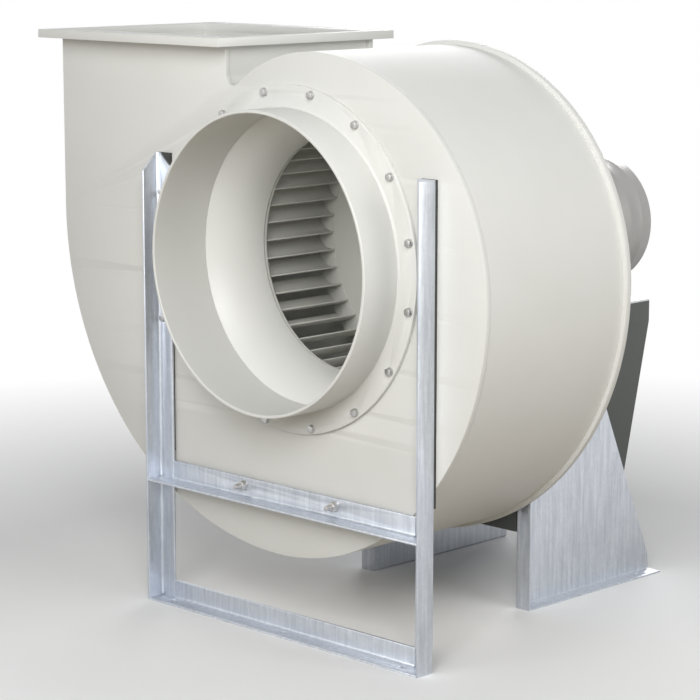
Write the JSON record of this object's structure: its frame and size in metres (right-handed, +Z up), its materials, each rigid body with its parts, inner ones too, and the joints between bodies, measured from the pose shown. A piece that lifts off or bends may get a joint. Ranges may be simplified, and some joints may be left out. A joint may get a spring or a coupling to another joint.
{
  "type": "centrifugal fan",
  "caption": "Direct-driven centrifugal fan: welded plastic scroll casing with round inlet and flanged outlet, bladed wheel, steel front frame and motor pedestal.",
  "frame": {"origin": "middle of the fan's overall width and length, on the floor it stands on", "axes": "+X to the right as seen from the inlet, +Y back along the shaft from inlet to motor, +Z up towards the outlet"},
  "size_m": [1.165, 1.003, 1.105],
  "materials": {
    "casing_plastic": "sawn, welded and formed polypropylene sheet, pebble grey",
    "wheel_plastic": "welded polypropylene, pebble grey",
    "galvanised_steel": "hot-dip galvanised, dull and streaky",
    "plate_steel": "zinc-plated sheet",
    "seat_paint": "dark grey paint, slightly glossy",
    "motor_paint": "metallic grey paint",
    "fastener_steel": "stainless steel",
    "machined_steel": "turned and ground steel",
    "cast_iron": "cast and laminated iron",
    "copper": "varnished copper wire",
    "black_plastic": "moulded, black",
    "felt": "pressed grey felt",
    "strip_rubber": "black rubber sheet"
  },
  "bodies": {
    "housing": {"bottom_bar": "galvanised_steel", "cable_gland": "black_plastic", "casing_battens": "casing_plastic", "casing_bolts": "fastener_steel", "crossbar": "galvanised_steel", "crossbar_spacers": "strip_rubber", "crossbar_studs": "fastener_steel", "inlet_nozzle": "casing_plastic", "inlet_ring": "casing_plastic", "inlet_ring_screws": "fastener_steel", "inlet_spigot": "casing_plastic", "left_leg": "galvanised_steel", "left_seat_cheek": "seat_paint", "left_upright": "galvanised_steel", "leg_bolts": "fastener_steel", "motor_bars": "plate_steel", "motor_base_plate": "plate_steel", "motor_bolts": "fastener_steel", "motor_cowl_screws": "fastener_steel", "motor_fan_cowl": "motor_paint", "motor_feet": "motor_paint", "motor_frame": "motor_paint", "motor_front_bearing": "machined_steel", "motor_front_shield": "motor_paint", "motor_rear_bearing": "machined_steel", "motor_rear_shield": "motor_paint", "motor_stator_core": "cast_iron", "motor_windings": "copper", "outlet_flange": "casing_plastic", "right_leg": "galvanised_steel", "right_seat_cheek": "seat_paint", "right_upright": "galvanised_steel", "scroll_front_plate": "casing_plastic", "scroll_rear_plate": "casing_plastic", "scroll_wrapper": "casing_plastic", "seat_front_wall": "seat_paint", "shaft_seal_felt": "felt", "shaft_seal_holder": "casing_plastic", "shaft_seal_screws": "fastener_steel", "terminal_box": "motor_paint", "terminal_box_lid": "motor_paint", "terminal_box_screws": "fastener_steel", "upright_screws": "fastener_steel", "upright_strips": "strip_rubber"},
    "rotor": {"impeller_back_plate": "wheel_plastic", "impeller_front_ring": "wheel_plastic", "impeller_blades": "wheel_plastic", "impeller_hub": "cast_iron", "impeller_hub_bolts": "fastener_steel", "shaft_end_screw": "fastener_steel", "hub_cap": "wheel_plastic", "motor_shaft": "machined_steel", "shaft_key": "machined_steel", "motor_rotor_core": "cast_iron", "motor_cooling_fan": "black_plastic"}
  },
  "joints": [
    {"name": "rotor_spin", "type": "hinge", "parent": "housing", "child": "rotor", "pos_m": [0.096, -0.4065, 0.705], "axis": [0, 1, 0], "continuous": true}
  ]
}
